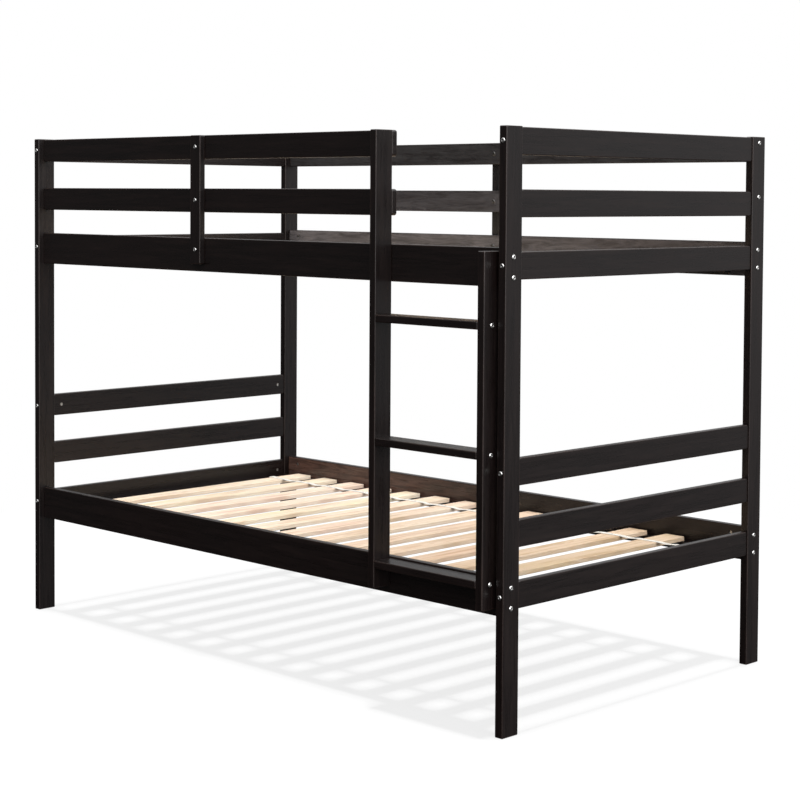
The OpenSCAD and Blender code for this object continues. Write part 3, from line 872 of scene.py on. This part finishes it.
def add_screw(shape, place, shank, head, shank_radius, head_radius):
    """Wood screw with a low head, a cross recess and a pointed, threaded shank."""
    recess = cross(2.3 * MM, 0.55 * MM)
    small = cross(1.2 * MM, 0.35 * MM)
    rings = [ring(shape, place, -shank, 0.15 * MM)]
    pitch = 1.6 * MM
    turns = int((shank - 8 * MM) / pitch)
    for k in range(turns):
        height = -shank + 3 * MM + k * pitch
        rings.append(ring(shape, place, height, 0.72 * shank_radius))
        rings.append(ring(shape, place, height + pitch / 2, shank_radius))
    rings += [
        ring(shape, place, -3 * MM, 0.8 * shank_radius),
        ring(shape, place, -0.1 * MM, shank_radius),
        ring(shape, place, 0, head_radius - 0.15 * MM),
        ring(shape, place, 0.15 * MM, head_radius),
        ring(shape, place, head - 0.1 * MM, head_radius - 0.4 * MM),
        ring(shape, place, head, head_radius - 0.6 * MM),
        ring(shape, place, head, lambda angle: recess(angle) + 0.25 * MM),
        ring(shape, place, head - 0.2 * MM, recess),
        ring(shape, place, head - 2.0 * MM, small),
    ]
    skin(shape, rings, close_first=True, close_last=True)


def finish_piece(name, shape, materials, node):
    """Makes an object of a bmesh, in place of a CAD node."""
    bmesh.ops.recalc_face_normals(shape, faces=shape.faces)
    mesh = bpy.data.meshes.new(name)
    shape.to_mesh(mesh)
    shape.free()
    for material in materials:
        mesh.materials.append(material)
    mesh.shade_smooth()
    mesh.set_sharp_from_angle(angle=math.radians(60))
    piece = place_piece(name, mesh, node)
    shade = piece.modifiers.new("shade", "WEIGHTED_NORMAL")
    shade.weight = 100
    shade.keep_sharp = True


def turned_pieces(node, add, materials):
    """materials are for the bolts or screws, then for the sleeve nuts among them."""
    shape = bmesh.new()
    for place, shank, head, shank_radius, head_radius in fastener_frames(node):
        before = len(shape.faces)
        add(shape, place, shank, head, shank_radius, head_radius)
        if shank_radius > SLEEVE_RADIUS:
            shape.faces.ensure_lookup_table()
            for face in shape.faces[before:]:
                face.material_index = 1
    finish_piece("detailed_" + node, shape, materials, node)


def add_sweep(shape, path, sides, section):
    """Sweeps a closed section along a path that turns in one plane; sides is the plane's normal.
    section holds (along sides, outwards) pairs."""
    rings = []
    for k, point in enumerate(path):
        ahead = (path[min(k + 1, len(path) - 1)] - path[max(k - 1, 0)]).normalized()
        out = sides.cross(ahead)
        rings.append([shape.verts.new(point + sides * a + out * b) for a, b in section])
    skin(shape, rings, close_first=True, close_last=True)


def rounded_section(wide, thick, corner, steps=3):
    """Points of a rectangle with round corners, about its middle."""
    points = []
    for quarter, (sx, sy) in enumerate(((1, 1), (-1, 1), (-1, -1), (1, -1))):
        for k in range(steps + 1):
            angle = math.tau / 4 * (quarter + k / steps)
            points.append((sx * (wide / 2 - corner) + corner * math.cos(angle),
                           sy * (thick / 2 - corner) + corner * math.sin(angle)))
    return points


SAG = 2.2 * MM
FOLD = 26 * MM
TAPE_THICK = 1.5 * MM
# The radius of a fold's middle line
TAPE_TURN = 0.56 * TAPE_THICK


def strap_path(low, high, spans):
    """Middle line of a strap: flat on each slat, sagging between slats, its ends folded back on top."""
    bed_z = low.z + TAPE_THICK / 2
    fold_steps, flat_steps, sag_steps = 8, 14, 16

    def fold(end_x, sign):
        """From the free end of the fold to the start of the lower layer."""
        line = [(end_x - sign * FOLD * (1 - k / fold_steps), bed_z + 2 * TAPE_TURN)
                for k in range(fold_steps)]
        for k in range(fold_steps + 1):
            angle = math.pi * k / fold_steps
            line.append((end_x - sign * TAPE_TURN * (1 - math.sin(angle)),
                         bed_z + TAPE_TURN * (1 + math.cos(angle))))
        return line

    points = fold(low.x, -1)
    for index, (start, stop) in enumerate(spans):
        for k in range(flat_steps + 1):
            x = start + (stop - start) * k / flat_steps
            if low.x + 2 * TAPE_TURN < x < high.x - 2 * TAPE_TURN:
                points.append((x, bed_z))
        if index + 1 < len(spans):
            gap = spans[index + 1][0] - stop
            for k in range(1, sag_steps):
                share = k / sag_steps
                points.append((stop + gap * share, bed_z - SAG * math.sin(math.pi * share) ** 2))
    points += reversed(fold(high.x, 1))
    line = points[:1]
    for point in points[1:]:
        if math.dist(point, line[-1]) > 0.05 * MM:
            line.append(point)
    middle_y = (low.y + high.y) / 2
    return [Vector((x, middle_y, z)) for x, z in line]


def make_straps(node, slat_boxes, material):
    shape = bmesh.new()
    spans = sorted((low.x, high.x) for low, high in slat_boxes)
    for points in solids(node):
        low, high = box_of(points)
        section = rounded_section(high.y - low.y, TAPE_THICK, 0.6 * MM)
        add_sweep(shape, strap_path(low, high, spans), Vector((0, 1, 0)), section)
    finish_piece("woven_" + node, shape, [material], node)


WIRE_WIDE = 1.2 * MM
WIRE_THICK = 0.7 * MM
WIRE_BEND = 0.9 * MM


def make_staples(node, material):
    shape = bmesh.new()
    section = rounded_section(WIRE_WIDE, WIRE_THICK, 0.25 * MM, 2)
    for points in solids(node):
        low, high = box_of(points)
        x = (low.x + high.x) / 2
        top = high.z - WIRE_THICK / 2
        near, far = low.y + WIRE_THICK / 2, high.y - WIRE_THICK / 2
        turns = [math.tau / 4 * k / 4 for k in range(5)]
        path = [Vector((x, near, low.z))]
        for angle in turns:
            path.append(Vector((x, near + WIRE_BEND * (1 - math.cos(angle)),
                                top - WIRE_BEND * (1 - math.sin(angle)))))
        for angle in turns:
            path.append(Vector((x, far - WIRE_BEND * (1 - math.sin(angle)),
                                top - WIRE_BEND * (1 - math.cos(angle)))))
        path.append(Vector((x, far, low.z)))
        add_sweep(shape, path, Vector((1, 0, 0)), section)
    finish_piece("wire_" + node, shape, [material], node)


# ---- The bed ----

bpy.context.scene.view_settings.view_transform = "Standard"
make_camera()
make_world()
make_sun(make_floor())

stains = {grain: espresso(grain) for grain in GRAIN_AXES}
slat_names = sorted(n for n in NODES if n.startswith("lower_slat_"))
slat_boxes = [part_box(name) for name in slat_names]
slat_pitch = slat_boxes[1][0].x - slat_boxes[0][0].x
upper_rise = Vector((0, 0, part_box("upper_slats")[0].z - slat_boxes[0][0].z))
deck_split = slat_boxes[0][1].z + upper_rise.z / 2
bare_pine = pine(slat_pitch, len(slat_names), deck_split)
nuts = [box_of(points) for points in solids("barrel_nuts")]

slots = {row["node"]: row["material_slot"] for row in frame["record"]["subparts"]}
for number, name in enumerate(sorted(n for n in NODES if slots[n] == WOOD_SLOT)):
    low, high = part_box(name)
    grain = "XYZ"[longest(high - low)]
    # The seed gives each board its own stretch of grain
    make_board(name, stains[grain], 1.37 * number + 0.5, nuts)

chance = random.Random(14)
for name, box in zip(slat_names, slat_boxes):
    make_slats(name, [box], bare_pine, chance)
upper_boxes = [(low + upper_rise, high + upper_rise) for low, high in slat_boxes]
make_slats("upper_slats", upper_boxes, bare_pine, chance)

bright_zinc = plating("bright_zinc", (0.78, 0.77, 0.75), 0.16, 0.32)
plain_zinc = plating("plain_zinc", (0.66, 0.64, 0.6), 0.26, 0.44)
black_zinc = plating("black_zinc", (0.12, 0.115, 0.11), 0.3, 0.5)
for node in ("side_rail_bolts", "end_board_bolts", "ladder_bolts"):
    turned_pieces(node, add_bolt, [bright_zinc])
turned_pieces("guard_bolts", add_bolt, [bright_zinc, black_zinc])
turned_pieces("ledger_screws", add_screw, [plain_zinc])

tape = webbing()
make_straps("lower_straps", slat_boxes, tape)
make_straps("upper_straps", upper_boxes, tape)
make_staples("strap_staples", plain_zinc)

for name, material in (("barrel_nuts", plain_zinc), ("wood_dowels", birch())):
    for row in NODES[name].material_slots:
        row.material = material
    weld = NODES[name].modifiers.new("weld", "WELD")
    weld.merge_threshold = 0.01 * MM
    bevel = NODES[name].modifiers.new("ease", "BEVEL")
    bevel.width = 0.3 * MM
    bevel.segments = 2
    bevel.limit_method = "ANGLE"
    bevel.angle_limit = math.radians(50)
